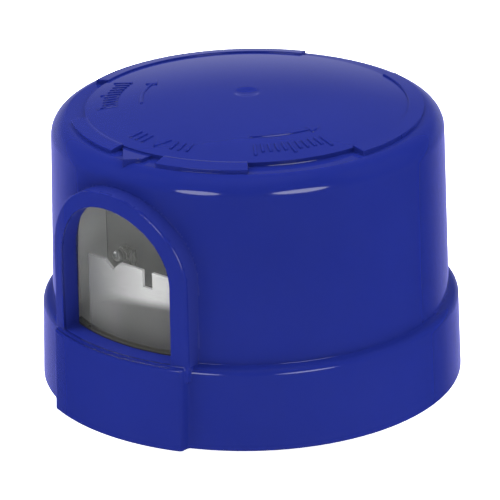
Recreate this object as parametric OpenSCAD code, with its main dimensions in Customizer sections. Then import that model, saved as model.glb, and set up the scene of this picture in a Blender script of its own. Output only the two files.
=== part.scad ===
// Photocell switch with a twist-lock plug, for the top of an outdoor lamp.
// Millimetres. +Z up, the window faces -Y, origin on the axis at the gasket's lower face.

/* [Cover] */
// Height of the cover's rim above the gasket's lower face
rim_z = 1.0; // [0.6:0.1:1.4]
// Radius of the skirt at the rim
skirt_r = 42.15; // [41.9:0.05:43]
// Height of the skirt
skirt_h = 16.9; // [16.5:0.1:17]
// Radius of the body just above the skirt
body_r = 39.58; // [39.5:0.02:39.7]
// Inward lean of the body, from skirt to top fillet
body_lean = 0.96; // [0.7:0.02:1.1]
// Height of the body's straight side above the rim
body_h = 50.35; // [49.8:0.05:51]
// Radius of the rounded top edge
top_fillet = 3.8; // [3.4:0.05:4.2]
// Radius of the raised top disc
disc_r = 31.8; // [31.4:0.1:32.4]
// Height of the disc's edge above the rim
disc_edge_h = 55.0; // [54.9:0.05:55.4]
// Height of the crown of the disc above the rim
crown_h = 57.8; // [57.2:0.1:58.2]
// Wall thickness
wall = 2.2; // [2:0.1:2.4]

/* [Top marks] */
// Outer radius of the raised tabs round the disc
tab_r = 34.7; // [34.2:0.1:35.2]
// Height of the tabs' tops above the rim
tab_h = 55.35; // [55.2:0.05:55.6]
// Diameter of the dimple at the crown
dimple_d = 5.2; // [4:0.1:6]
// Radius of the dimple's curve
dimple_r = 6.5; // [5:0.5:8]
// Width of the north pointer at its base
pointer_w = 9.4; // [8:0.2:10]

/* [Window] */
// Half width and arch radius of the opening
win_r = 13.7; // [13:0.1:14.2]
// Height of the arch centre above the rim
win_centre_h = 32.6; // [32:0.1:33.4]
// Height of the sill above the rim
sill_h = 17.25; // [17.15:0.05:17.6]
// Half width and arch radius of the frame outside
frame_r = 16.85; // [16.6:0.05:17.2]
// Radius, from the axis, of the frame's front face at its foot
frame_face_r = 42.5; // [42.2:0.1:43]
// Half width of the panel under the window
panel_w = 16.4; // [15.8:0.1:16.8]
// Radius, from the axis, of the panel's face at the rim
panel_face_r = 43.95; // [43.4:0.05:44.2]
// Radius, from the axis, of the lens's front face
lens_r = 38.4; // [38.2:0.1:38.5]
// Thickness of the lens
lens_t = 1.5; // [1.2:0.1:1.8]

/* [Plug] */
// Radius of the circle the blades stand on
blade_circle_r = 17.5; // [16.5:0.1:18]
// Thickness of the blades
blade_t = 1.6; // [1.4:0.1:1.8]
// Width of the line and load blades
blade_w = 7.2; // [6.4:0.2:8]
// Width of the neutral blade
neutral_w = 9.6; // [8.4:0.2:10.4]
// Length of the blades below the gasket
blade_len = 9.5; // [8.5:0.5:11]
// Height of the hooked foot of a blade
hook_h = 3.2; // [2.6:0.2:4]
// Reach of the hooked foot beyond the blade
hook_w = 2.6; // [2:0.2:3]

/* [Base] */
// Thickness of the foam gasket
gasket_h = 3.0; // [2.4:0.1:3]
// Outer radius of the gasket
gasket_r = 31.5; // [30:0.5:31.5]
// Radius of the base disc
base_r = 39.2; // [38.9:0.1:39.4]
// Thickness of the base disc
base_t = 3.0; // [2.6:0.1:3]

/* [Inside] */
// Distance of the light shield's face from the axis
shield_y = 33.5; // [33:0.1:33.8]
// Half width of the light shield
shield_w = 12.8; // [12.4:0.1:13.2]
// Height of the light shield's top edge above the rim
shield_h = 31.4; // [30.5:0.1:32]
// Thickness of the light shield's sheet
shield_t = 0.6; // [0.5:0.1:1]
// Distance of the baffle's face from the axis
baffle_y = 23.9; // [23.6:0.1:24.2]
// Half width of the baffle's back wall
baffle_w = 16.4; // [15:0.1:18]
// Height of the circuit board's underside
board_z = 13.0; // [12.5:0.1:13.4]
// Radius of the circuit board
board_r = 29.0; // [28.5:0.1:29.4]

/* [Hidden] */
$fn = 96;

skirt_z = rim_z + skirt_h;
skirt_top_r = skirt_r - 0.67;
body_top_r = body_r - body_lean;
body_z = rim_z + body_h;
fil_r = body_top_r - top_fillet;
ann_z = body_z + top_fillet;
disc_z = rim_z + disc_edge_h;
crown_z = rim_z + crown_h;
tab_z = rim_z + tab_h;
dome_R = (disc_r * disc_r + (crown_z - disc_z) * (crown_z - disc_z)) / (2 * (crown_z - disc_z));
arch_z = rim_z + win_centre_h;
sill_z = rim_z + sill_h;
roof_in = crown_z - 2.4;
base_z0 = gasket_h;
base_z1 = gasket_h + base_t;
blade_angles = [90, 210, 330];
post_angles = [30, 150, 270];
post_circle_r = 24;
boss_circle_r = 35.2;
boss_angles = [90, 210, 330];
board_z1 = board_z + 1.6;
shield_z = rim_z + shield_h;

blue = [0.14, 0.18, 0.54];
black = [0.08, 0.08, 0.09];
brass = [0.80, 0.64, 0.30];
steel = [0.72, 0.73, 0.75];

function arc(cx, cy, r, a0, a1, n) =
    [for (i = [0:n]) [cx + r * cos(a0 + (a1 - a0) * i / n), cy + r * sin(a0 + (a1 - a0) * i / n)]];
function dome(n, drop) =
    [for (i = [0:n]) let (r = disc_r * (1 - i / n)) [r, crown_z - drop - (dome_R - sqrt(dome_R * dome_R - r * r))]];

// Outline standing in the XZ plane, pushed along -Y from y0 to y1
module along_y(y0, y1) {
    translate([0, y1, 0]) rotate([90, 0, 0]) linear_extrude(y1 - y0) children();
}

// Arch with its foot at z0
module arch2d(r, z0) {
    union() {
        translate([0, arch_z]) circle(r);
        translate([-r, z0]) square([2 * r, arch_z - z0]);
    }
}

module cover_solid() {
    rotate_extrude($fn = 180) polygon(concat(
        [[0, rim_z], [skirt_r, rim_z]],
        arc(skirt_top_r - 1.2, skirt_z - 1.2, 1.2, 0, 90, 5),
        [[body_r + 0.5, skirt_z], [body_r + 0.14, skirt_z + 0.14], [body_r, skirt_z + 0.5]],
        arc(fil_r, body_z, top_fillet, 0, 90, 8),
        [[disc_r, ann_z + 0.02]],
        dome(8, 0)));
}

module cover_hollow() {
    rotate_extrude($fn = 180) polygon([
        [0, rim_z - 1], [skirt_r - 2.0, rim_z - 1], [skirt_r - 2.0, rim_z],
        [skirt_top_r - 2.0, skirt_z - wall],
        [body_r - wall, skirt_z - wall],
        [body_top_r - wall, body_z], [fil_r, ann_z - wall],
        [disc_r - 3, disc_z - 2.6], [disc_r / 2, roof_in - 0.7], [0, roof_in]]);
}

// Raised tabs, one sector each, measured from the window's direction
module tabs() {
    for (s = [[9.4, 30.6], [79, 81.5], [-40, 30.6], [-160.5, 81.5]])
        rotate([0, 0, -90 + s[0]])
            rotate_extrude(angle = s[1], $fn = 180)
                polygon([[disc_r - 0.8, ann_z - 1], [tab_r, ann_z - 1], [tab_r, tab_z - 0.34],
                         [tab_r - 0.12, tab_z - 0.24], [disc_r, tab_z], [disc_r - 0.8, tab_z - 0.1]]);
}

module pointer() {
    translate([0, 0, ann_z - 1.8]) linear_extrude(tab_z - 0.6 - ann_z + 1.8)
        polygon([[-pointer_w / 2, -disc_r + 0.2], [0, -disc_r - 5.5], [pointer_w / 2, -disc_r + 0.2],
                 [pointer_w / 2 - 0.8, -disc_r + 1], [-pointer_w / 2 + 0.8, -disc_r + 1]]);
}

module frame() {
    intersection() {
        along_y(-46, -28) arch2d(frame_r, skirt_z - 1);
        rotate_extrude($fn = 180) polygon([[0, skirt_z - 1], [frame_face_r, skirt_z - 1],
            [frame_face_r - 0.4, arch_z + frame_r], [frame_face_r - 0.6, arch_z + frame_r + 1], [0, arch_z + frame_r + 1]]);
    }
}

module panel() {
    intersection() {
        translate([-panel_w, -46, rim_z]) cube([2 * panel_w, 18, skirt_h]);
        rotate_extrude($fn = 180) polygon([[0, rim_z], [panel_face_r, rim_z],
            [panel_face_r - 0.5, skirt_z - 0.4], [panel_face_r - 0.9, skirt_z], [0, skirt_z]]);
    }
}

// Arch sheet cut from a round wall, for the lens and its seat
module lens_form(r_in, r_out, r_arch, z0) {
    intersection() {
        along_y(-46, -20) arch2d(r_arch, z0);
        difference() {
            translate([0, 0, z0 - 2]) cylinder(r = r_out, h = 40, $fn = 180);
            translate([0, 0, z0 - 3]) cylinder(r = r_in, h = 42, $fn = 180);
        }
    }
}

module boss_at(a) {
    rotate([0, 0, a]) translate([boss_circle_r, 0, 0]) children();
}

module cover() {
    color(blue) difference() {
        union() {
            difference() {
                union() {
                    cover_solid();
                    frame();
                    panel();
                    tabs();
                    pointer();
                }
                cover_hollow();
            }
            for (a = boss_angles) boss_at(a) translate([0, 0, base_z1]) cylinder(r = 2.8, h = 20);
        }
        along_y(-50, -30) arch2d(win_r, sill_z);
        lens_form(lens_r - 4, lens_r, win_r + 1.5, sill_z - 1.55);
        for (a = boss_angles) boss_at(a) translate([0, 0, base_z1 - 1]) cylinder(r = 1.5, h = 13);
        translate([0, 0, crown_z + sqrt(dimple_r * dimple_r - dimple_d * dimple_d / 4)]) sphere(r = dimple_r);
    }
}

module window_lens() {
    color([0.35, 0.36, 0.34]) lens_form(lens_r - lens_t, lens_r, win_r + 1.4, sill_z - 1.45);
}

module blade_slot(a, w) {
    rotate([0, 0, a]) translate([blade_circle_r - blade_t / 2 - 0.1, -w / 2 - 0.1, 0]) cube([blade_t + 0.2, w + 0.2, 20]);
}

module base() {
    color(black) difference() {
        union() {
            translate([0, 0, base_z0]) cylinder(r = base_r, h = base_t, $fn = 180);
            translate([0, 0, base_z0 - 1.8]) cylinder(r = 22.3, h = 2.8);
            difference() {
                translate([0, 0, base_z0 - 1.2]) cylinder(r = gasket_r + 0.95, h = 2);
                translate([0, 0, base_z0 - 2]) cylinder(r = gasket_r + 0.1, h = 3);
            }
            difference() {
                translate([0, 0, base_z1 - 1]) cylinder(r = base_r, h = 3.4, $fn = 180);
                translate([0, 0, base_z1 - 2]) cylinder(r = base_r - 1, h = 6, $fn = 180);
            }
            for (a = post_angles) rotate([0, 0, a]) translate([post_circle_r, 0, base_z1 - 1])
                cylinder(r = 3, h = board_z - base_z1 + 1);
        }
        translate([0, 0, base_z0 - 3]) cylinder(r = 6.5, h = 2.4);
        for (a = boss_angles) boss_at(a) {
            translate([0, 0, 0]) cylinder(r = 1.7, h = 12);
            translate([0, 0, base_z0 - 1]) cylinder(r = 2.9, h = 2.4);
        }
        for (a = post_angles) rotate([0, 0, a]) translate([post_circle_r, 0, base_z1 - 1]) cylinder(r = 1.3, h = 12);
        for (i = [0:2]) {
            blade_slot(blade_angles[i], i == 0 ? neutral_w : blade_w);
            rotate([0, 0, blade_angles[i]]) translate([12.4, 0, 0]) {
                cylinder(r = 1.55, h = 12);
                cylinder(r = 2.7, h = base_z0 - 0.8);
            }
        }
        for (x = [-9, 9]) translate([x, -30.4, base_z0 + 0.6]) cylinder(r = 1.15, h = 6);
    }
}

module base_gasket() {
    color([0.16, 0.16, 0.17]) rotate_extrude($fn = 180)
        polygon([[22.4, 0.15], [22.6, 0], [gasket_r - 0.2, 0], [gasket_r, 0.15], [gasket_r, gasket_h], [22.4, gasket_h]]);
}

// Pan-head screw with a cross recess, head seated at z = 0 and shank pointing along +Z
module screw(head_r, head_h, r, len) {
    difference() {
        union() {
            rotate_extrude() polygon([[0, -head_h], [head_r - 0.7, -head_h], [head_r - 0.2, -head_h + 0.3],
                [head_r, -head_h + 0.9], [head_r, 0], [r, 0], [r, len - 1.2], [0.3, len], [0, len]]);
        }
        for (t = [0, 90]) rotate([0, 0, t]) translate([-head_r * 0.6, -0.35, -head_h - 1]) cube([head_r * 1.2, 0.7, 2.1]);
    }
}

module cover_screws() {
    color(steel) for (a = boss_angles) boss_at(a) translate([0, 0, base_z0 + 1.4]) screw(2.7, 1.9, 1.4, 10);
}

module blade(a, w) {
    color(brass) rotate([0, 0, a]) difference() {
        union() {
            translate([blade_circle_r - blade_t / 2, -w / 2, -blade_len]) cube([blade_t, w, blade_len + base_z1 + blade_t]);
            translate([blade_circle_r - blade_t / 2, -w / 2 - hook_w, -blade_len]) cube([blade_t, hook_w + 1, hook_h]);
            translate([8.6, -3.4, base_z1]) cube([blade_circle_r - 8.6, 6.8, blade_t]);
        }
        translate([12.4, 0, base_z1 - 1]) cylinder(r = 1.55, h = 5);
        // relief at the lower corners
        for (y = [-w / 2 - hook_w, w / 2]) translate([blade_circle_r, y, -blade_len]) rotate([45, 0, 0])
            cube([blade_t * 3, 1.1, 1.1], center = true);
        // open corner of the bend
        translate([blade_circle_r + blade_t / 2, 0, base_z1 + blade_t]) rotate([0, 45, 0]) cube([1.0, w * 3, 1.0], center = true);
    }
}

module neutral_blade() { blade(blade_angles[0], neutral_w); }
module line_blade() { blade(blade_angles[1], blade_w); }
module load_blade() { blade(blade_angles[2], blade_w); }

module blade_rivets() {
    color(steel) for (a = blade_angles) rotate([0, 0, a]) translate([12.4, 0, 0]) rotate_extrude()
        polygon([[0.8, base_z0 - 1.6], [2.3, base_z0 - 1.6], [2.5, base_z0 - 1.3], [2.5, base_z0 - 0.8], [1.5, base_z0 - 0.8],
                 [1.5, base_z1 + blade_t], [2.5, base_z1 + blade_t], [2.4, base_z1 + blade_t + 0.5], [1.9, base_z1 + blade_t + 0.8],
                 [0.8, base_z1 + blade_t + 0.8]]);
}

module light_shield() {
    color([0.80, 0.80, 0.78]) difference() {
        union() {
            along_y(-shield_y, -shield_y + shield_t) polygon([
                [-shield_w, base_z1], [shield_w, base_z1], [shield_w, shield_z],
                [3.7, shield_z], [3.7, shield_z - 3.45], [1.25, shield_z - 3.45], [1.25, shield_z],
                [-4.4, shield_z], [-6.45, shield_z - 1.75], [-8.45, shield_z], [-shield_w, shield_z]]);
            translate([-shield_w, -shield_y, base_z1]) cube([2 * shield_w, 5.4, shield_t]);
        }
        for (x = [-9, 9]) translate([x, -30.4, base_z1 - 1]) cylinder(r = 1.3, h = 4);
    }
}

module shield_screws() {
    color(steel) for (x = [-9, 9]) translate([x, -30.4, base_z1 + shield_t]) mirror([0, 0, 1]) screw(2.0, 1.5, 1.05, 2.9);
}

// Moulded screen behind the sensor, back wall and two wings, pegged to the board;
// it keeps the parts behind it out of the light
module light_baffle() {
    tip = [17.4, -31];
    color([0.20, 0.20, 0.20]) difference() {
        translate([0, 0, board_z1]) linear_extrude(49.5 - board_z1) polygon([
            [-tip[0], tip[1]], [-baffle_w, -baffle_y], [baffle_w, -baffle_y], tip,
            [tip[0] + 1.2, tip[1]], [baffle_w + 1.2, -baffle_y], [baffle_w + 0.6, -baffle_y + 1.4],
            [-baffle_w - 0.6, -baffle_y + 1.4], [-baffle_w - 1.2, -baffle_y], [-tip[0] - 1.2, tip[1]]]);
        translate([-3.3, -baffle_y - 2, board_z1 - 1]) cube([6.6, 6, 3.6]);
    }
    color([0.20, 0.20, 0.20]) for (x = [-12, 12])
        translate([x, -baffle_y + 0.7, board_z - 0.8]) cylinder(r = 0.65, h = 4, $fn = 32);
}

module circuit_board() {
    color([0.62, 0.50, 0.22]) difference() {
        translate([0, 0, board_z]) cylinder(r = board_r, h = 1.6, $fn = 180);
        for (a = post_angles) rotate([0, 0, a]) translate([post_circle_r, 0, board_z - 1]) cylinder(r = 1.5, h = 4);
        translate([-30, -60, board_z - 1]) cube([60, 32, 4]);
        for (a = [0, 180]) rotate([0, 0, a]) translate([board_r, 0, board_z - 1]) cylinder(r = 2, h = 4);
        for (x = [-12, 12]) translate([x, -baffle_y + 0.7, board_z - 1]) cylinder(r = 0.75, h = 4, $fn = 32);
    }
}

module board_screws() {
    color(steel) for (a = post_angles) rotate([0, 0, a]) translate([post_circle_r, 0, board_z1])
        mirror([0, 0, 1]) screw(2.6, 1.8, 1.2, 7);
}

module wire_leg(x, y, h, r) {
    translate([x, y, board_z1]) cylinder(r = r, h = h, $fn = 24);
}

// Light sensor: flanged clear body with a round nose, two bent legs
module photo_sensor() {
    color([0.85, 0.87, 0.88]) translate([-7, 0, shield_z + 0.2]) {
        translate([0, -29.4, 0]) rotate([90, 0, 0]) cylinder(r = 1.2, h = 1.8);
        translate([0, -31.2, 0]) sphere(r = 1.2);
        translate([0, -28.8, 0]) rotate([90, 0, 0]) cylinder(r = 1.5, h = 0.7);
        for (x = [-0.75, 0.75]) {
            translate([x, -27, 0]) rotate([90, 0, 0]) cylinder(r = 0.25, h = 1.9, $fn = 24);
            translate([x, -27, 0]) sphere(r = 0.25, $fn = 24);
        }
    }
    color([0.85, 0.87, 0.88]) for (x = [-0.75, 0.75]) wire_leg(-7 + x, -27, shield_z + 0.2 - board_z1, 0.25);
}

module relay() {
    color([0.10, 0.12, 0.16]) difference() {
        translate([2, -10, board_z1 + 0.3]) cube([19, 15.5, 15]);
        for (x = [2, 21]) translate([x, -2.25, board_z1 + 15.3]) rotate([0, 45, 0]) cube([0.9, 20, 0.9], center = true);
        for (y = [-10, 5.5]) translate([11.5, y, board_z1 + 15.3]) rotate([45, 0, 0]) cube([24, 0.9, 0.9], center = true);
        translate([5, -7.5, board_z1 + 14.9]) cylinder(r = 0.8, h = 2);
    }
    color([0.10, 0.12, 0.16]) for (x = [2.4, 18.6]) for (y = [-9.6, 3.1])
        translate([x, y, board_z1]) cube([2, 2, 0.6]);
}

module dropper_capacitor() {
    color([0.72, 0.56, 0.16]) difference() {
        translate([-22, 0, board_z1 + 0.4]) cube([18, 8, 14]);
        for (x = [-22, -4]) translate([x, 4, board_z1 + 14.4]) rotate([0, 45, 0]) cube([0.8, 12, 0.8], center = true);
        for (y = [0, 8]) translate([-13, y, board_z1 + 14.4]) rotate([45, 0, 0]) cube([22, 0.8, 0.8], center = true);
    }
    color([0.72, 0.56, 0.16]) for (x = [-21.4, -6.6]) translate([x, 2.5, board_z1]) cube([2, 3, 1]);
}

module filter_capacitor() {
    color([0.12, 0.13, 0.22]) translate([-2, 17.5, board_z1]) difference() {
        rotate_extrude() polygon([[0, 0], [3.9, 0], [3.9, 0.9], [4.2, 1.2], [5, 1.5], [5, 2.2], [4.6, 2.6], [5, 3.0],
            [5, 15.4], [4.6, 15.8], [4.1, 15.8], [4.1, 15.6], [0, 15.6]]);
        for (t = [0, 90]) rotate([0, 0, t]) translate([-3, -0.15, 15.3]) cube([6, 0.3, 1]);
    }
}

module surge_varistor() {
    color([0.12, 0.25, 0.52]) translate([-13, -10, board_z1 + 9.6]) {
        rotate([90, 0, 0]) rotate_extrude() polygon([[0, -2.2], [6.2, -2.2], [6.8, -1.5], [7, -0.6], [7, 0.6], [6.8, 1.5], [6.2, 2.2], [0, 2.2]]);
    }
    color([0.12, 0.25, 0.52]) for (x = [-16.75, -9.25]) wire_leg(x, -10, 5, 0.4);
}

// Round body lying along Y with two legs bent into the board
module axial(x, y, body_rad, body_len, span, h, leg) {
    translate([x, y, board_z1 + h]) rotate([90, 0, 0]) {
        translate([0, 0, -body_len / 2]) cylinder(r = body_rad, h = body_len, $fn = 48);
        translate([0, 0, -span / 2]) cylinder(r = leg, h = span, $fn = 24);
        for (s = [-1, 1]) translate([0, 0, s * span / 2]) sphere(r = leg, $fn = 24);
    }
    for (s = [-1, 1]) wire_leg(x, y + s * span / 2, h, leg);
}

module rectifier_diodes() {
    color([0.10, 0.10, 0.11]) for (x = [4.5, 8.5, 12.5, 16.5]) axial(x, -16.5, 1.35, 5, 8.4, 1.8, 0.4);
}

module zener_diode() {
    color([0.80, 0.40, 0.22]) axial(-1.5, -9, 0.95, 4, 7.2, 1.4, 0.28);
}

module resistors() {
    color([0.72, 0.62, 0.44]) for (x = [7, 11, 15]) axial(x, 14, 1.2, 6.4, 9.8, 1.6, 0.32);
}

module transistor() {
    color(black) translate([-11, 14, board_z1 + 2.6]) difference() {
        cylinder(r = 2.4, h = 4.8);
        translate([-4, 1.3, -1]) cube([8, 4, 8]);
    }
    color(black) for (x = [-12.27, -11, -9.73]) wire_leg(x, 14, 3, 0.28);
}

// Insulated lead from a blade's tab to the underside of the board, two round bends in a vertical plane through the axis
module lead(a, tone) {
    bend = 2.3;
    r0 = 16.0;
    r1 = 23.4;
    zt = base_z1 + blade_t;
    zm = (zt + board_z) / 2;
    color(tone) rotate([0, 0, a]) {
        translate([r0, 0, zt]) cylinder(r = 0.95, h = zm - bend - zt, $fn = 32);
        translate([r0 + bend, 0, zm - bend]) rotate([90, 0, 0]) rotate([0, 0, 90])
            rotate_extrude(angle = 90, $fn = 48) translate([bend, 0]) circle(r = 0.95, $fn = 32);
        translate([r0 + bend, 0, zm]) rotate([0, 90, 0]) cylinder(r = 0.95, h = r1 - r0 - 2 * bend, $fn = 32);
        translate([r1 - bend, 0, zm + bend]) rotate([90, 0, 0]) rotate([0, 0, -90])
            rotate_extrude(angle = 90, $fn = 48) translate([bend, 0]) circle(r = 0.95, $fn = 32);
        translate([r1, 0, zm + bend]) cylinder(r = 0.95, h = board_z - zm - bend, $fn = 32);
    }
}

module neutral_lead() { lead(blade_angles[0], [0.86, 0.86, 0.84]); }
module line_lead() { lead(blade_angles[1], [0.08, 0.08, 0.08]); }
module load_lead() { lead(blade_angles[2], [0.62, 0.10, 0.08]); }

cover();
window_lens();
base();
base_gasket();
cover_screws();
line_blade();
load_blade();
neutral_blade();
blade_rivets();
light_shield();
shield_screws();
light_baffle();
circuit_board();
board_screws();
photo_sensor();
relay();
dropper_capacitor();
filter_capacitor();
surge_varistor();
rectifier_diodes();
zener_diode();
resistors();
transistor();
line_lead();
load_lead();
neutral_lead();
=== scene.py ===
import bpy, bmesh, math
import numpy as np
from mathutils import Matrix, Vector


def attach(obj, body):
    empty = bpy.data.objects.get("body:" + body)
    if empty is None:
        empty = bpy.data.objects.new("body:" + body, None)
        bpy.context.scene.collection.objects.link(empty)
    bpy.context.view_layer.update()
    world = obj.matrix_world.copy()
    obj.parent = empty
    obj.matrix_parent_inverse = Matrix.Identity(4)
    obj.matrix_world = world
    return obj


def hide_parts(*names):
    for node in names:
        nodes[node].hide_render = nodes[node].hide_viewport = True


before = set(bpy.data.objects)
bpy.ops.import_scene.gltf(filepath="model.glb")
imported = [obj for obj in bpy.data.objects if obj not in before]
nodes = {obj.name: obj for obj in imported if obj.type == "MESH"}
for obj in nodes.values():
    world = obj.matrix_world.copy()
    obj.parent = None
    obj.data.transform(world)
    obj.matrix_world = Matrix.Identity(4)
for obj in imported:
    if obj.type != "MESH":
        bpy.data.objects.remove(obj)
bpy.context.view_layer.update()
scene = bpy.context.scene
MM = 0.001

# ---------------------------------------------------------------- sizes (mm, same frame as the CAD)
RIM = 1.0
SKIRT_Z = 17.9
ARCH_Z = 33.6
SILL_Z = 18.25
DISC_R = 31.8
DISC_Z = 56.0
CROWN = 58.8
TAB_Z = 56.35
DOME_R = (DISC_R ** 2 + (CROWN - DISC_Z) ** 2) / (2 * (CROWN - DISC_Z))
DOME_C = CROWN - DOME_R
LENS_R = 38.4
FLOOR_Z = -9.5


def dome_z(r):
    return DOME_C + np.sqrt(DOME_R ** 2 - np.asarray(r, float) ** 2)


# ---------------------------------------------------------------- signed distances
def r_and(a, b, r):
    return np.minimum(np.maximum(a, b), -r) + np.hypot(np.maximum(a + r, 0), np.maximum(b + r, 0))


def r_or(a, b, r):
    return np.maximum(np.minimum(a, b), r) - np.hypot(np.maximum(r - a, 0), np.maximum(r - b, 0))


def r_cut(a, b, r):
    return r_and(a, -b, r)


def cone(rho, z, r0, z0, r1, z1):
    k = (r1 - r0) / (z1 - z0)
    return (rho - (r0 + k * (z - z0))) / math.sqrt(1 + k * k)


def arch(x, z, r):
    w = z - ARCH_Z
    return np.where(w > 0, np.hypot(x, w), np.abs(x)) - r


TABS = [(10.6, 40.0, 0.15, 35.3), (79.0, 160.5, 0.13, 34.6), (-40.0, -8.2, 0.2, 34.7), (-160.5, -79.0, 0.145, 34.6)]


def cover_sdf(p):
    x, y, z = p[..., 0], p[..., 1], p[..., 2]
    rho = np.hypot(x, y)
    ax = np.abs(x)
    skirt = r_and(cone(rho, z, 42.07, RIM, 41.48, SKIRT_Z), (z - SKIRT_Z + (rho - 39.7) * 0.25) * 0.97, 1.0)
    # the ledge round the disc is flat in front, up to a crease, and falls outward a little behind
    w = np.clip((y + 12.0) / 24.0, 0.0, 1.0)
    ledge = w * 0.05 * (35.0 - rho + np.hypot(35.0 - rho, 0.3))
    body = r_and(cone(rho, z, 39.58, SKIRT_Z, 38.62, 51.35), z - 55.15 - ledge, 3.8)
    body = np.maximum(body, z - 55.05 - ledge - 0.25 * w)
    d = r_or(skirt, body, 0.12)
    ball = np.sqrt(rho ** 2 + (z - DOME_C) ** 2) - DOME_R + 0.008
    lean = (DISC_Z - z) * 0.03
    disc = np.maximum(r_and(rho - DISC_R - lean, ball, 0.06), 45.0 - z)
    d = r_or(d, disc, 0.04)
    for a0, a1, fall, out in TABS:
        top = (z - (TAB_Z - (rho - DISC_R) * fall)) / math.hypot(1.0, fall)
        if out > 34.65:
            top = r_and(top, (z - 56.25 - (rho - 32.3) * 0.09) * 0.996, 0.05)
        ring = np.maximum(r_and(rho - out - lean, r_and(DISC_R - 0.25 - rho, top, 0.16), 0.06), 50.0 - z)
        b0, b1 = math.radians(a0 - 90), math.radians(a1 - 90)
        ends = np.maximum(x * math.sin(b0) - y * math.cos(b0), -x * math.sin(b1) + y * math.cos(b1))
        d = r_or(d, r_and(ring, ends, 0.08), 0.04)
    px, py = x * 0.9999 + y * 0.0140, y * 0.9999 - x * 0.0140
    tri = np.maximum((np.abs(px) - 4.8) * 0.753 - (py + 31.6) * 0.658 - lean, np.maximum(py + 30.9, px - 2.4))
    d = r_or(d, np.maximum(r_and(tri, (z - 55.62 + (py + 31.6) * 0.06) * 0.998, 0.07), 50.0 - z), 0.04)
    face = cone(rho, z, 42.5, SKIRT_Z, 42.1, 50.5)
    fr = np.maximum(np.maximum(r_and(arch(x, z, 16.85), face, 0.3), 15.0 - z), y + 24.0)
    d = r_or(d, fr, 0.08)
    pan = r_and(r_and(ax - 16.4, cone(rho, z, 43.95, RIM, 43.4, SKIRT_Z), 0.5), z - SKIRT_Z, 0.35)
    d = r_or(d, np.maximum(pan, y + 24.0), 0.35)
    d = r_and(d, RIM + 0.1 - z, 0.14)
    hollow = r_and(cone(rho, z, 40.0, RIM, 39.48, 15.7), z - 15.7, 0.8)
    hollow = np.minimum(hollow, r_and(cone(rho, z, 37.38, SKIRT_Z, 36.42, 51.35), z - 52.95, 2.2))
    hollow = np.minimum(hollow, np.maximum(np.maximum(rho - 29.0, ball + 2.4), 45.0 - z))
    d = r_cut(d, hollow, 0.2)
    opening = np.maximum(r_and(arch(x, z, 13.7), SILL_Z - z, 0.45), y + 24.0)
    d = r_cut(d, opening, 0.16)
    seat = np.maximum(np.maximum(arch(x, z, 15.2), 16.7 - z), np.maximum(rho - LENS_R, y + 24.0))
    d = np.maximum(d, -seat)
    dent = np.sqrt(rho ** 2 + (z - CROWN - 5.957) ** 2) - 6.5
    return r_cut(d, dent, 0.15)


def grad(f, p, e=0.015):
    g = np.empty_like(p)
    for i in range(3):
        q = np.zeros(3)
        q[i] = e
        g[..., i] = f(p + q) - f(p - q)
    return g / (2 * e)


def steps(*spans):
    """Spans of (start, end, step) joined into one rising or falling list."""
    out = []
    for a, b, s in spans:
        n = max(1, int(round(abs(b - a) / s)))
        out.append(np.linspace(a, b, n, endpoint=False))
    out.append(np.array([spans[-1][1]]))
    return np.concatenate(out)


def chart():
    """Grid that follows the cover's wall: angle from the window, length along the wall, distance through it."""
    fine = 0.6
    half = steps((0, 26, fine), (26, 38.6, 1.4), (38.6, 41.4, 0.4), (41.4, 77.6, 3.0), (77.6, 80.4, 0.4),
                 (80.4, 159.2, 3.0), (159.2, 161.8, 0.4), (161.8, 180, 3.0))
    th = np.radians(np.concatenate([half[:-1], 360 - half[::-1][:-1]]) - 90.0)
    rz, nn = [], []
    for z in steps((0.3, 2.2, 0.3), (2.2, 15.2, 1.45), (15.2, 19.0, 0.3), (19.0, 46.0, 0.45))[:-1]:
        rz.append((38.6, z)); nn.append((1, 0))
    for a in np.radians(steps((0, 50, 3.4), (50, 62, 2.2), (62, 90, 1.0)))[:-1]:
        rz.append((31.1 + 7.5 * math.cos(a), 46 + 7.5 * math.sin(a))); nn.append((math.cos(a), math.sin(a)))
    for r in steps((31.1, 29.0, 0.35), (29.0, 4.2, 1.3), (4.2, 0.45, 0.28)):
        rz.append((r, 53.5)); nn.append((0, 1))
    n = np.arange(-3.4, 6.01, 0.4)
    rz, nn = np.array(rz), np.array(nn)
    r = rz[:, None, 0] + nn[:, None, 0] * n
    z = rz[:, None, 1] + nn[:, None, 1] * n
    p = np.empty((len(th), len(rz), len(n), 3))
    p[..., 0] = np.cos(th)[:, None, None] * r
    p[..., 1] = np.sin(th)[:, None, None] * r
    p[..., 2] = z
    return p


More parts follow.
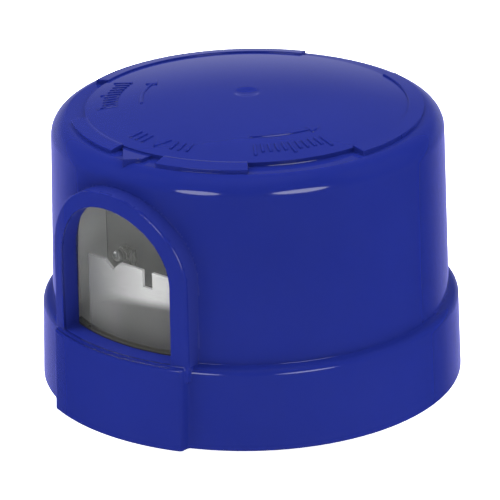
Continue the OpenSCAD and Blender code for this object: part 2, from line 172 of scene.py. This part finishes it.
def surface_net(f, p):
    """One vertex for each crossed cell of a grid that is closed in its first direction."""
    v = f(p)
    nt, ns, nn = v.shape
    nxt = np.roll(np.arange(nt), -1)
    corner_v, corner_p = {}, {}
    for i in (0, 1):
        vi = v[nxt] if i else v
        pi = p[nxt] if i else p
        for j in (0, 1):
            for k in (0, 1):
                sl = (slice(None), slice(j, ns - 1 + j), slice(k, nn - 1 + k))
                corner_v[i, j, k] = vi[sl]
                corner_p[i, j, k] = pi[sl]
    neg = sum((c < 0).astype(np.int8) for c in corner_v.values())
    live = (neg > 0) & (neg < 8)
    index = -np.ones(live.shape, np.int64)
    index[live] = np.arange(live.sum())
    acc = np.zeros((live.sum(), 3))
    cnt = np.zeros(live.sum())
    planes = np.zeros((live.sum(), 3, 3))
    offs = np.zeros((live.sum(), 3))
    for a in corner_v:
        for ax in range(3):
            if a[ax]:
                continue
            b = tuple(1 if q == ax else a[q] for q in range(3))
            va, vb = corner_v[a][live], corner_v[b][live]
            hit = (va < 0) != (vb < 0)
            t = np.where(hit, va / np.where(hit, va - vb, 1), 0)[:, None]
            pt = corner_p[a][live] * (1 - t) + corner_p[b][live] * t
            q = pt[hit]
            acc[hit] += q
            cnt[hit] += 1
            g = grad(f, q)
            g /= np.maximum(np.linalg.norm(g, axis=1, keepdims=True), 1e-6)
            planes[hit] += g[:, :, None] * g[:, None, :]
            offs[hit] += g * (g * q).sum(1, keepdims=True)
    verts = acc / cnt[:, None]
    # pull each vertex to where the planes through its crossings meet
    rhs = offs - np.einsum("nij,nj->ni", planes, verts)
    move = np.linalg.solve(planes + 0.05 * np.eye(3), rhs[:, :, None])[:, :, 0]
    size = np.linalg.norm(move, axis=1, keepdims=True)
    verts = verts + move * np.minimum(1.0, 0.45 / np.maximum(size, 1e-9))
    prv = np.roll(np.arange(nt), 1)
    quads = []

    def add(mask, c00, c10, c11, c01, inside_first):
        q = np.stack([c00[mask], c10[mask], c11[mask], c01[mask]], 1)
        flip = inside_first[mask]
        q[flip] = q[flip][:, ::-1]
        quads.append(q[(q >= 0).all(1)])

    # edges along the wall's thickness
    e0, e1 = v[:, 1:-1, :-1] < 0, v[:, 1:-1, 1:] < 0
    add(e0 != e1, index[prv][:, :-1], index[:, :-1], index[:, 1:], index[prv][:, 1:], ~e0)
    # edges along the wall
    e0, e1 = v[:, :-1, 1:-1] < 0, v[:, 1:, 1:-1] < 0
    add(e0 != e1, index[prv][:, :, :-1], index[prv][:, :, 1:], index[:, :, 1:], index[:, :, :-1], ~e0)
    # edges round the axis
    e0, e1 = v[:, 1:-1, 1:-1] < 0, v[nxt][:, 1:-1, 1:-1] < 0
    add(e0 != e1, index[:, :-1, :-1], index[:, 1:, :-1], index[:, 1:, 1:], index[:, :-1, 1:], ~e0)
    return verts, np.concatenate(quads)


def settle(f, verts, rounds=6):
    for _ in range(rounds):
        g = grad(f, verts)
        g2 = np.maximum((g ** 2).sum(-1, keepdims=True), 0.2)
        verts = verts - np.clip(f(verts)[:, None] * g / g2, -0.3, 0.3)
    return verts


def new_object(name, mesh):
    o = bpy.data.objects.new(name, mesh)
    scene.collection.objects.link(o)
    return o


def build_cover():
    verts, quads = surface_net(cover_sdf, chart())
    verts = settle(cover_sdf, verts, 4)
    me = bpy.data.meshes.new("cover_shell")
    me.from_pydata((verts * MM).tolist(), [], quads.tolist())
    bm = bmesh.new()
    bm.from_mesh(me)
    edge = [e for e in bm.edges if e.is_boundary]
    caps = bmesh.ops.holes_fill(bm, edges=edge, sides=0)["faces"]
    if caps:
        bmesh.ops.poke(bm, faces=caps)
    bmesh.ops.recalc_face_normals(bm, faces=bm.faces)
    # inner screw bosses
    for a in (90, 210, 330):
        ca, sa = math.cos(math.radians(a)), math.sin(math.radians(a))
        c = Vector((35.2 * ca, 35.2 * sa, 0)) * MM
        rings = [(1.5, 18.0, 1), (1.5, 6.35, 1), (1.8, 6.0, 1), (2.5, 6.0, 1), (2.8, 6.3, 1), (2.8, 25.7, 1), (2.5, 26.0, 1)]
        loops = []
        for r, z, _ in rings:
            loops.append([bm.verts.new(c + Vector((r * math.cos(t), r * math.sin(t), z)) * MM)
                          for t in np.linspace(0, 2 * math.pi, 40, endpoint=False)])
        for lo, hi in zip(loops, loops[1:]):
            for i in range(40):
                bm.faces.new((lo[i], hi[i], hi[(i + 1) % 40], lo[(i + 1) % 40]))
        bm.faces.new(loops[0])
        bm.faces.new(loops[-1][::-1])
    bm.to_mesh(me)
    bm.free()
    me.update()
    co = np.empty(len(me.vertices) * 3)
    me.vertices.foreach_get("co", co)
    co = co.reshape(-1, 3) / MM
    g = grad(cover_sdf, co)
    me.polygons.foreach_set("use_smooth", [True] * len(me.polygons))
    me.update()
    nv = np.empty(len(me.vertices) * 3)
    me.vertices.foreach_get("normal", nv)
    nv = nv.reshape(-1, 3)
    near = np.abs(cover_sdf(co)) < 0.05
    ln = np.linalg.norm(g, axis=1, keepdims=True)
    near &= ln[:, 0] > 0.5
    vn = np.where(near[:, None], g / np.maximum(ln, 1e-6), nv)
    # a corner at a sharp edge takes the direction of its own face
    lv = np.empty(len(me.loops), np.int32)
    me.loops.foreach_get("vertex_index", lv)
    tot = np.empty(len(me.polygons), np.int32)
    me.polygons.foreach_get("loop_total", tot)
    mid = np.empty(len(me.polygons) * 3)
    me.polygons.foreach_get("center", mid)
    mid = np.repeat(mid.reshape(-1, 3) / MM, tot, axis=0)
    cg = grad(cover_sdf, co[lv] * 0.5 + mid * 0.5)
    cl = np.linalg.norm(cg, axis=1, keepdims=True)
    cn = cg / np.maximum(cl, 1e-6)
    keep = ((cn * vn[lv]).sum(1) > math.cos(math.radians(14))) | ~near[lv] | (cl[:, 0] < 0.5)
    me.normals_split_custom_set(np.where(keep[:, None], vn[lv], cn).tolist())
    return new_object("cover_shell", me)


# ---------------------------------------------------------------- other meshes
def build_lens():
    """Curved smoked sheet, arched outline, softened edges."""
    cols, rows = 72, 64
    u = np.linspace(-1, 1, cols)
    sheets = []
    for r, inset in ((LENS_R - 0.02, 0.2), (LENS_R - 0.2, 0.0), (LENS_R - 1.3, 0.0), (LENS_R - 1.5, 0.2)):
        R = 15.05 - inset
        z0 = 16.85 + inset
        pts = []
        for uu in u:
            x = R * math.sin(uu * math.pi / 2)
            zt = ARCH_Z + math.sqrt(max(R * R - x * x, 0.0))
            for zz in np.linspace(z0, zt, rows):
                pts.append((x, -math.sqrt(r * r - x * x), zz))
        sheets.append(pts)
    bm = bmesh.new()
    grids = [[bm.verts.new(Vector(p) * MM) for p in s] for s in sheets]

    def at(g, i, j):
        return grids[g][i * rows + j]

    for i in range(cols - 1):
        for j in range(rows - 1):
            bm.faces.new((at(0, i, j), at(0, i + 1, j), at(0, i + 1, j + 1), at(0, i, j + 1)))
            bm.faces.new((at(3, i, j), at(3, i, j + 1), at(3, i + 1, j + 1), at(3, i + 1, j)))
    ring = [(i, 0) for i in range(cols)] + [(cols - 1, j) for j in range(1, rows)] + \
           [(i, rows - 1) for i in range(cols - 2, -1, -1)] + [(0, j) for j in range(rows - 2, 0, -1)]
    used = set()
    for g in range(3):
        for a, b in zip(ring, ring[1:] + ring[:1]):
            bm.faces.new((at(g, *a), at(g + 1, *a), at(g + 1, *b), at(g, *b)))
    for g in (1, 2):
        for i in range(cols):
            for j in range(rows):
                if (i, j) not in ring:
                    used.add(at(g, i, j))
    bmesh.ops.delete(bm, geom=list(used), context="VERTS")
    bmesh.ops.recalc_face_normals(bm, faces=bm.faces)
    for f in bm.faces:
        f.smooth = True
    me = bpy.data.meshes.new("smoked_lens")
    bm.to_mesh(me)
    bm.free()
    return new_object("smoked_lens", me)


def polar(r, deg):
    a = math.radians(deg - 90)
    return (r * math.cos(a), r * math.sin(a))


def raised(bm, outline, height=0.34, edge=0.13, sink=0.25):
    """A closed outline standing on the dome with rounded top edges."""
    pts = np.array(outline)
    area = 0.5 * np.sum(pts[:, 0] * np.roll(pts[:, 1], -1) - np.roll(pts[:, 0], -1) * pts[:, 1])
    if area < 0:
        pts = pts[::-1]
    prv, nxt = np.roll(pts, 1, 0), np.roll(pts, -1, 0)
    d0 = pts - prv
    d1 = nxt - pts
    d0 /= np.linalg.norm(d0, axis=1, keepdims=True)
    d1 /= np.linalg.norm(d1, axis=1, keepdims=True)
    n0 = np.stack([-d0[:, 1], d0[:, 0]], 1)
    n1 = np.stack([-d1[:, 1], d1[:, 0]], 1)
    m = n0 + n1
    m /= np.maximum((m * n0).sum(1, keepdims=True), 0.35)
    loops = []
    for inset, h in ((-0.04, -sink), (-0.03, 0.02), (0.0, height * 0.62), (edge * 0.35, height * 0.88), (edge, height)):
        q = pts + m * inset
        z = dome_z(np.hypot(q[:, 0], q[:, 1])) + h
        loops.append([bm.verts.new(Vector((a, b, c)) * MM) for (a, b), c in zip(q, z)])
    n = len(pts)
    for lo, hi in zip(loops, loops[1:]):
        for i in range(n):
            bm.faces.new((lo[i], lo[(i + 1) % n], hi[(i + 1) % n], hi[i]))
    bm.faces.new(loops[-1])
    bm.faces.new(loops[0][::-1])


def band(r, a0, a1, w, n=26):
    t = np.linspace(a0, a1, n)
    return [polar(r + w / 2, a) for a in t] + [polar(r - w / 2, a) for a in t[::-1]]


def local(deg, r, pts):
    """Points given as (along, outward) about a place on the disc."""
    out = []
    for u, v in pts:
        c = polar(1, deg)
        t = (-c[1], c[0])
        out.append((c[0] * (r + v) + t[0] * u, c[1] * (r + v) + t[1] * u))
    return out


def build_marks():
    """Moulded turn arrows and dial graduations on the top disc."""
    bm = bmesh.new()
    # turn arrows
    for r, a0, a1, tip in ((22.0, 41, 73, 1), (20.7, -43, -75, -1)):
        raised(bm, band(r, a0, a1, 0.5), height=0.22, edge=0.1)
        raised(bm, [polar(r + 1.25, a1 - tip * 0.8), polar(r + 0.1, a1 + tip * 6.0), polar(r - 1.25, a1 - tip * 0.8)], height=0.26, edge=0.12)
    # graduations: a fan of even strokes at each end of the turn, the long one in the middle
    for centre, r in ((58.0, 27.4), (-61.0, 27.4)):
        for k in range(-5, 6):
            h = 2.0 if k % 5 == 0 else 1.45
            raised(bm, local(centre + k * 3.0, r - 2.0 + h, [(-0.27, -h), (0.27, -h), (0.27, h), (-0.27, h)]), height=0.26, edge=0.1)
    # short strokes either side of a plain triangle behind the north pointer
    for k in (-4, -3, -2, 2, 3, 4):
        raised(bm, local(3.0 + k * 3.4, 27.6, [(-0.27, -1.45), (0.27, -1.45), (0.27, 1.45), (-0.27, 1.45)]), height=0.26, edge=0.1)
    raised(bm, local(3.0, 27.6, [(-1.7, -1.5), (1.7, -1.5), (0.0, 1.9)]), height=0.26, edge=0.12)
    bmesh.ops.recalc_face_normals(bm, faces=bm.faces)
    for f in bm.faces:
        f.smooth = True
    me = bpy.data.meshes.new("top_marks")
    bm.to_mesh(me)
    bm.free()
    o = new_object("top_marks", me)
    m = o.modifiers.new("normals", "WEIGHTED_NORMAL")
    m.keep_sharp = True
    return o


# ---------------------------------------------------------------- materials
def material(name):
    m = bpy.data.materials.new(name)
    m.use_nodes = True
    nt = m.node_tree
    b = next(n for n in nt.nodes if n.type == "BSDF_PRINCIPLED")
    return m, nt, b


def coords(nt, scale=1.0):
    tc = nt.nodes.new("ShaderNodeTexCoord")
    mp = nt.nodes.new("ShaderNodeMapping")
    s = scale if hasattr(scale, "__len__") else (scale,) * 3
    mp.inputs["Scale"].default_value = s
    nt.links.new(tc.outputs["Object"], mp.inputs["Vector"])
    return mp.outputs["Vector"]


def noise(nt, vec, scale, detail=3.0, rough=0.5):
    n = nt.nodes.new("ShaderNodeTexNoise")
    n.inputs["Scale"].default_value = scale
    n.inputs["Detail"].default_value = detail
    n.inputs["Roughness"].default_value = rough
    nt.links.new(vec, n.inputs["Vector"])
    return n.outputs["Fac"]


def ramp(nt, fac, stops):
    r = nt.nodes.new("ShaderNodeValToRGB")
    els = r.color_ramp.elements
    while len(els) < len(stops):
        els.new(0.5)
    for e, (pos, col) in zip(els, stops):
        e.position = pos
        e.color = (*col, 1) if hasattr(col, "__len__") else (col, col, col, 1)
    nt.links.new(fac, r.inputs["Fac"])
    return r.outputs["Color"]


def bump(nt, b, height, strength, distance):
    n = nt.nodes.new("ShaderNodeBump")
    n.inputs["Strength"].default_value = strength
    n.inputs["Distance"].default_value = distance
    nt.links.new(height, n.inputs["Height"])
    nt.links.new(n.outputs["Normal"], b.inputs["Normal"])


def moulded(name, dark, light, rough=(0.3, 0.4), spec=0.5, grain=900.0, grain_depth=0.00001, strength=0.15, metallic=0.0):
    m, nt, b = material(name)
    vec = coords(nt)
    big = noise(nt, vec, 35.0, 4.0)
    nt.links.new(ramp(nt, big, [(0.3, dark), (0.7, light)]), b.inputs["Base Color"])
    mid = noise(nt, vec, 160.0, 3.0)
    nt.links.new(ramp(nt, mid, [(0.3, rough[0]), (0.7, rough[1])]), b.inputs["Roughness"])
    if strength:
        bump(nt, b, noise(nt, vec, grain, 2.0), strength, grain_depth)
    b.inputs["Specular IOR Level"].default_value = spec
    b.inputs["Metallic"].default_value = metallic
    return m


BLUE_D, BLUE_L = (0.0054, 0.0096, 0.0925), (0.0062, 0.0109, 0.1015)
mat_blue = moulded("blue_moulded_plastic", BLUE_D, BLUE_L, rough=(0.08, 0.11), strength=0.0)
mat_side = moulded("blue_plastic_frame_side", BLUE_D, BLUE_L, rough=(0.46, 0.54), spec=0.12, strength=0.0)
# rougher blue for the sill and reveal inside the window opening, made lighter than the body's blue as painted light
mat_sill_painted_light = moulded("blue_plastic_sill_painted_light", (0.0085, 0.0150, 0.142), (0.0097, 0.0170, 0.155), rough=(0.46, 0.54), spec=0.12, strength=0.0)
mat_base = moulded("black_moulded_plastic", (0.012, 0.012, 0.013), (0.020, 0.020, 0.022), rough=(0.42, 0.56), grain=1800.0, grain_depth=0.00002, strength=0.3)
mat_foam = moulded("gasket_foam", (0.014, 0.014, 0.015), (0.030, 0.030, 0.032), rough=(0.8, 0.95), spec=0.25, grain=2600.0, grain_depth=0.00012, strength=0.7)
mat_steel = moulded("plated_steel", (0.50, 0.50, 0.50), (0.60, 0.60, 0.61), rough=(0.24, 0.36), grain=1500.0, grain_depth=0.00001, strength=0.2, metallic=1.0)
mat_brass = moulded("stamped_brass", (0.60, 0.42, 0.17), (0.70, 0.51, 0.23), rough=(0.24, 0.38), grain=1200.0, grain_depth=0.00001, strength=0.2, metallic=1.0)
mat_board = moulded("board_laminate", (0.30, 0.20, 0.06), (0.36, 0.25, 0.08), rough=(0.4, 0.5), grain=2000.0, strength=0.2)
mat_relay = moulded("relay_case", (0.010, 0.013, 0.022), (0.014, 0.018, 0.030), rough=(0.28, 0.36))
mat_film = moulded("film_capacitor_case", (0.40, 0.25, 0.03), (0.46, 0.30, 0.04), rough=(0.3, 0.4))
mat_sleeve = moulded("can_sleeve", (0.010, 0.012, 0.035), (0.014, 0.016, 0.045), rough=(0.22, 0.3))
mat_var = moulded("varistor_coat", (0.013, 0.045, 0.20), (0.018, 0.060, 0.25), rough=(0.25, 0.4), grain=700.0, grain_depth=0.00004, strength=0.4)
mat_diode = moulded("diode_moulding", (0.008, 0.008, 0.009), (0.013, 0.013, 0.014), rough=(0.4, 0.5))
mat_zener = moulded("zener_glass", (0.40, 0.12, 0.04), (0.50, 0.16, 0.06), rough=(0.1, 0.16))
mat_res = moulded("resistor_lacquer", (0.42, 0.28, 0.13), (0.50, 0.34, 0.17), rough=(0.3, 0.4))
mat_lead_k = moulded("lead_black", (0.010, 0.010, 0.010), (0.016, 0.016, 0.016), rough=(0.35, 0.45))
mat_lead_r = moulded("lead_red", (0.28, 0.012, 0.010), (0.34, 0.016, 0.012), rough=(0.35, 0.45))
mat_lead_w = moulded("lead_white", (0.62, 0.62, 0.60), (0.70, 0.70, 0.68), rough=(0.35, 0.45))

# sheet metal with a rolled grain; its colour holds painted light: a painted reflection along its upper band, painted
# shade towards the foot and a painted shadow over its left side
mat_shield, nt, b = material("satin_sheet")
streak = noise(nt, coords(nt, (60.0, 60.0, 2200.0)), 1.0, 3.0)
cloud = noise(nt, coords(nt), 260.0, 4.0)
place = nt.nodes.new("ShaderNodeSeparateXYZ")
nt.links.new(coords(nt), place.inputs[0])


def spread(nt, src, a, b, smooth=True):
    m = nt.nodes.new("ShaderNodeMapRange")
    m.interpolation_type = "SMOOTHSTEP" if smooth else "LINEAR"
    m.inputs["From Min"].default_value = a
    m.inputs["From Max"].default_value = b
    nt.links.new(src, m.inputs["Value"])
    return m.outputs["Result"]


def blend(nt, fac, a, b, kind="MIX"):
    m = nt.nodes.new("ShaderNodeMix")
    m.data_type = "RGBA"
    m.blend_type = kind
    if hasattr(fac, "node"):
        nt.links.new(fac, m.inputs[0])
    else:
        m.inputs[0].default_value = fac
    nt.links.new(a, m.inputs[6])
    nt.links.new(b, m.inputs[7])
    return m.outputs[2]


cut = nt.nodes.new("ShaderNodeSeparateXYZ")
flat = nt.nodes.new("ShaderNodeTexCoord")
nt.links.new(flat.outputs["Normal"], cut.inputs[0])
# painted shadow of the window frame: the sheet darker to the left, lighter to the right
frame_shadow_across = spread(nt, place.outputs["X"], -0.012, 0.006)
lit_upper_band = ramp(nt, frame_shadow_across, [(0.0, (0.235, 0.235, 0.243)), (1.0, (0.61, 0.61, 0.60))])
shaded_lower_band = ramp(nt, spread(nt, place.outputs["X"], -0.0145, -0.001), [(0.0, (0.29, 0.29, 0.29)), (1.0, (0.075, 0.075, 0.075))])
slope = nt.nodes.new("ShaderNodeVectorMath")
slope.operation = "DOT_PRODUCT"
slope.inputs[1].default_value = (-0.13, 0.0, 1.0)
nt.links.new(coords(nt), slope.inputs[0])
# painted light: a bright painted reflection band above a line tilted across the sheet, painted shade below it; the
# rolled grain and cloud are multiplied in after
painted_light_and_grain = blend(nt, spread(nt, slope.outputs["Value"], 0.0242, 0.0268), shaded_lower_band, lit_upper_band)
painted_light_and_grain = blend(nt, 0.6, painted_light_and_grain, ramp(nt, streak, [(0.3, 0.86), (0.7, 1.0)]), "MULTIPLY")
painted_light_and_grain = blend(nt, 0.5, painted_light_and_grain, ramp(nt, cloud, [(0.35, 0.84), (0.65, 1.0)]), "MULTIPLY")
# its cut edges carry a painted highlight, near white wherever the face turns away from the sheet's flat sides
painted_edge_glint = ramp(nt, cloud, [(0.3, (0.93, 0.93, 0.92)), (0.7, (0.98, 0.98, 0.97))])
facing = nt.nodes.new("ShaderNodeMath")
facing.operation = "ABSOLUTE"
nt.links.new(cut.outputs["Y"], facing.inputs[0])
nt.links.new(blend(nt, spread(nt, facing.outputs[0], 0.3, 0.7), painted_edge_glint, painted_light_and_grain), b.inputs["Base Color"])
nt.links.new(ramp(nt, cloud, [(0.3, 0.40), (0.7, 0.55)]), b.inputs["Roughness"])
b.inputs["Metallic"].default_value = 0.2
bump(nt, b, streak, 0.15, 0.00001)

# grey baffle; its wings hold painted light, lighter than the back wall and lighter still towards the foot
mat_baffle, nt, b = material("baffle_plastic")
vec = coords(nt)
cloud = noise(nt, vec, 35.0, 4.0)
place = nt.nodes.new("ShaderNodeSeparateXYZ")
nt.links.new(vec, place.inputs[0])
back = ramp(nt, cloud, [(0.3, (0.176, 0.180, 0.174)), (0.7, (0.200, 0.204, 0.198))])
high = ramp(nt, cloud, [(0.3, (0.36, 0.365, 0.355)), (0.7, (0.39, 0.395, 0.385))])
low = ramp(nt, cloud, [(0.3, (0.84, 0.85, 0.82)), (0.7, (0.88, 0.89, 0.86))])
# painted light on the wings: lighter towards the foot
painted_light_wing = blend(nt, spread(nt, place.outputs["Z"], 0.026, 0.042), low, high)
nt.links.new(blend(nt, spread(nt, place.outputs["Y"], -0.0242, -0.0240), painted_light_wing, back), b.inputs["Base Color"])
nt.links.new(ramp(nt, noise(nt, vec, 160.0, 3.0), [(0.3, 0.45), (0.7, 0.6)]), b.inputs["Roughness"])
bump(nt, b, noise(nt, vec, 1500.0, 2.0), 0.2, 0.00001)

# smoked clear plastic
mat_lens, nt, b = material("smoked_plastic")
vec = coords(nt)
smoke = ramp(nt, noise(nt, vec, 60.0, 3.0), [(0.3, (0.155, 0.158, 0.150)), (0.7, (0.175, 0.178, 0.170))])
place = nt.nodes.new("ShaderNodeSeparateXYZ")
nt.links.new(vec, place.inputs[0])
foot = ramp(nt, noise(nt, vec, 300.0, 2.0), [(0.3, (0.018, 0.016, 0.007)), (0.7, (0.028, 0.025, 0.012))])
nt.links.new(blend(nt, spread(nt, place.outputs["Z"], 0.0184, 0.0188), foot, smoke), b.inputs["Base Color"])
nt.links.new(ramp(nt, noise(nt, vec, 220.0, 3.0), [(0.3, 0.03), (0.7, 0.07)]), b.inputs["Roughness"])
edge = nt.nodes.new("ShaderNodeMapRange")
edge.interpolation_type = "SMOOTHSTEP"
for k, v in zip(("From Min", "From Max", "To Min", "To Max"), (0.0185, 0.0189, 0.7, 0.13)):
    edge.inputs[k].default_value = v
nt.links.new(place.outputs["Z"], edge.inputs["Value"])
nt.links.new(edge.outputs["Result"], b.inputs["Alpha"])
b.inputs["IOR"].default_value = 1.49

mat_clear, nt, b = material("sensor_clear")
vec = coords(nt)
nt.links.new(ramp(nt, noise(nt, vec, 400.0, 2.0), [(0.3, (0.34, 0.35, 0.34)), (0.7, (0.40, 0.41, 0.40))]), b.inputs["Base Color"])
nt.links.new(ramp(nt, noise(nt, vec, 900.0, 2.0), [(0.3, 0.03), (0.7, 0.07)]), b.inputs["Roughness"])
b.inputs["Transmission Weight"].default_value = 0.96
b.inputs["IOR"].default_value = 1.5

# ---------------------------------------------------------------- pieces
cover = build_cover()
cover.data.materials.append(mat_blue)
cover.data.materials.append(mat_side)
cover.data.materials.append(mat_sill_painted_light)
mid = np.empty(len(cover.data.polygons) * 3)
cover.data.polygons.foreach_get("center", mid)
mid = mid.reshape(-1, 3) / MM
# frame sides take the rougher blue; the sill and reveal inside the opening take the lighter blue, which is painted
# light
under = (arch(mid[:, 0], mid[:, 2], 17.0) < 0) & (mid[:, 1] < -30) & (mid[:, 2] > SKIRT_Z - 0.05) & (np.hypot(mid[:, 0], mid[:, 1]) < 41.7)
inner = under & (arch(mid[:, 0], mid[:, 2], 14.3) < 0)
cover.data.polygons.foreach_set("material_index", under.astype(np.int32) + inner)
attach(cover, "root")
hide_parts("cover")

lens = build_lens()
lens.data.materials.append(mat_lens)
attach(lens, "root")
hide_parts("window_lens")

marks = build_marks()
marks.data.materials.append(mat_blue)
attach(marks, "root")

NODE_MATS = {
    "base": (mat_base, 0.25), "base_gasket": (mat_foam, 0.3), "cover_screws": (mat_steel, 0.12),
    "line_blade": (mat_brass, 0.2), "load_blade": (mat_brass, 0.2), "neutral_blade": (mat_brass, 0.2),
    "blade_rivets": (mat_steel, 0.12), "light_shield": (mat_shield, 0.08), "shield_screws": (mat_steel, 0.1),
    "light_baffle": (mat_baffle, 0.15), "circuit_board": (mat_board, 0.1), "board_screws": (mat_steel, 0.12), "photo_sensor": (mat_clear, 0.0),
    "relay": (mat_relay, 0.2), "dropper_capacitor": (mat_film, 0.2), "filter_capacitor": (mat_sleeve, 0.1),
    "surge_varistor": (mat_var, 0.3), "rectifier_diodes": (mat_diode, 0.15), "zener_diode": (mat_zener, 0.15),
    "resistors": (mat_res, 0.2), "transistor": (mat_diode, 0.15), "line_lead": (mat_lead_k, 0.0),
    "load_lead": (mat_lead_r, 0.0), "neutral_lead": (mat_lead_w, 0.0),
}
for name, (m, w) in NODE_MATS.items():
    o = nodes[name]
    o.data.materials.clear()
    o.data.materials.append(m)
    if w:
        bv = o.modifiers.new("edges", "BEVEL")
        bv.width = w * MM
        bv.segments = 2
        bv.limit_method = "ANGLE"
        bv.angle_limit = math.radians(40)
        bv.harden_normals = False

# ---------------------------------------------------------------- stage
bm = bmesh.new()
bmesh.ops.create_grid(bm, x_segments=2, y_segments=2, size=6.0)
me = bpy.data.meshes.new("floor")
bm.to_mesh(me)
bm.free()
floor = new_object("floor", me)
floor.location.z = FLOOR_Z * MM
mat_floor, nt, b = material("pale_floor")
nt.links.new(ramp(nt, noise(nt, coords(nt), 3.0, 2.0), [(0.0, 0.90), (1.0, 0.92)]), b.inputs["Base Color"])
b.inputs["Roughness"].default_value = 0.9
b.inputs["Specular IOR Level"].default_value = 0.1
b.inputs["Emission Color"].default_value = (1, 1, 1, 1)
b.inputs["Emission Strength"].default_value = 1.02
floor.data.materials.append(mat_floor)
floor.visible_glossy = False

# camera at the photograph's place
AZ, EL = math.radians(40.2), 0.3763
TARGET = Vector((0, 0, RIM + 33.0)) * MM
DIST = 655.8543 * MM
FOCAL, PX, PY, ROLL = 3307.5, 249.31, 209.46, -0.0204
pos = TARGET + DIST * Vector((math.sin(AZ) * math.cos(EL), -math.cos(AZ) * math.cos(EL), math.sin(EL)))
look = (TARGET - pos).to_track_quat("-Z", "Y").to_matrix()
turn = Matrix.Rotation(ROLL, 3, "Z") @ Matrix.Rotation(-math.atan((250 - PY) / FOCAL), 3, "X") @ Matrix.Rotation(-math.atan((250 - PX) / FOCAL), 3, "Y")
cam_data = bpy.data.cameras.new("camera")
cam_data.sensor_width = 36.0
cam_data.lens = 36.0 * FOCAL / 500.0
cam_data.clip_start = 0.01
cam = bpy.data.objects.new("camera", cam_data)
scene.collection.objects.link(cam)
cam.matrix_world = Matrix.Translation(pos) @ (look @ turn).to_4x4()
scene.camera = cam


def area(name, az, el, dist, size, power, shape="RECTANGLE", size_y=None, aim=(0, 0, 0.035)):
    d = bpy.data.lights.new(name, "AREA")
    d.shape = shape
    d.size = size
    if size_y:
        d.size_y = size_y
    d.energy = power
    o = bpy.data.objects.new(name, d)
    scene.collection.objects.link(o)
    a, e = math.radians(az), math.radians(el)
    p = Vector(aim) + dist * Vector((math.sin(a) * math.cos(e), -math.cos(a) * math.cos(e), math.sin(e)))
    o.matrix_world = Matrix.Translation(p) @ (Vector(aim) - p).to_track_quat("-Z", "Y").to_matrix().to_4x4()
    return o


# two soft boxes beside the camera, and broad fills that only lift the shade
area("soft_left", 40.2 - 28.3, 8.5, 0.75, 0.32, 0.96, "ELLIPSE", 0.25)
area("soft_right", 40.2 + 28.3, 7.5, 0.75, 0.41, 1.36, "ELLIPSE", 0.25)
for name, az, el, power in (("fill_left", -50, 35, 13.5), ("fill_right", 130, 35, 14.5), ("fill_front", 25, 58, 4.4), ("fill_top", 40, 88, 14.0), ("fill_back", 220, 40, 9.0)):
    f = area(name, az, el, 1.0, 0.8, power, size_y=0.8)
    f.visible_glossy = False

# dim surroundings, brighter behind the object towards the horizon
world = bpy.data.worlds.new("studio")
scene.world = world
world.use_nodes = True
wt = world.node_tree
bg = wt.nodes["Background"]
tc = wt.nodes.new("ShaderNodeTexCoord")
dot = wt.nodes.new("ShaderNodeVectorMath")
dot.operation = "DOT_PRODUCT"
dot.inputs[1].default_value = (-math.sin(AZ + 0.06), math.cos(AZ + 0.06), 0.0)
wt.links.new(tc.outputs["Generated"], dot.inputs[0])
sep = wt.nodes.new("ShaderNodeSeparateXYZ")
wt.links.new(tc.outputs["Generated"], sep.inputs[0])


def span(src, a, b, lo, hi):
    m = wt.nodes.new("ShaderNodeMapRange")
    m.interpolation_type = "SMOOTHSTEP"
    for k, v in zip(("From Min", "From Max", "To Min", "To Max"), (a, b, lo, hi)):
        m.inputs[k].default_value = v
    wt.links.new(src, m.inputs["Value"])
    return m.outputs["Result"]


glow = wt.nodes.new("ShaderNodeMath")
glow.operation = "MULTIPLY_ADD"
wt.links.new(span(dot.outputs["Value"], 0.37, 0.96, 0.0, 0.44), glow.inputs[0])
wt.links.new(span(sep.outputs["Z"], 0.0, 0.37, 1.0, 0.27), glow.inputs[1])
glow.inputs[2].default_value = 0.015
wt.links.new(glow.outputs[0], bg.inputs["Strength"])
hue = wt.nodes.new("ShaderNodeValToRGB")
hue.color_ramp.elements[0].color = (0.84, 0.85, 2.0, 1)
hue.color_ramp.elements[1].color = (0.82, 0.84, 1.22, 1)
wt.links.new(span(sep.outputs["Z"], -0.32, 0.02, 0.0, 1.0), hue.inputs["Fac"])
wt.links.new(hue.outputs["Color"], bg.inputs["Color"])
scene.view_settings.view_transform = "Standard"
scene.view_settings.look = "None"
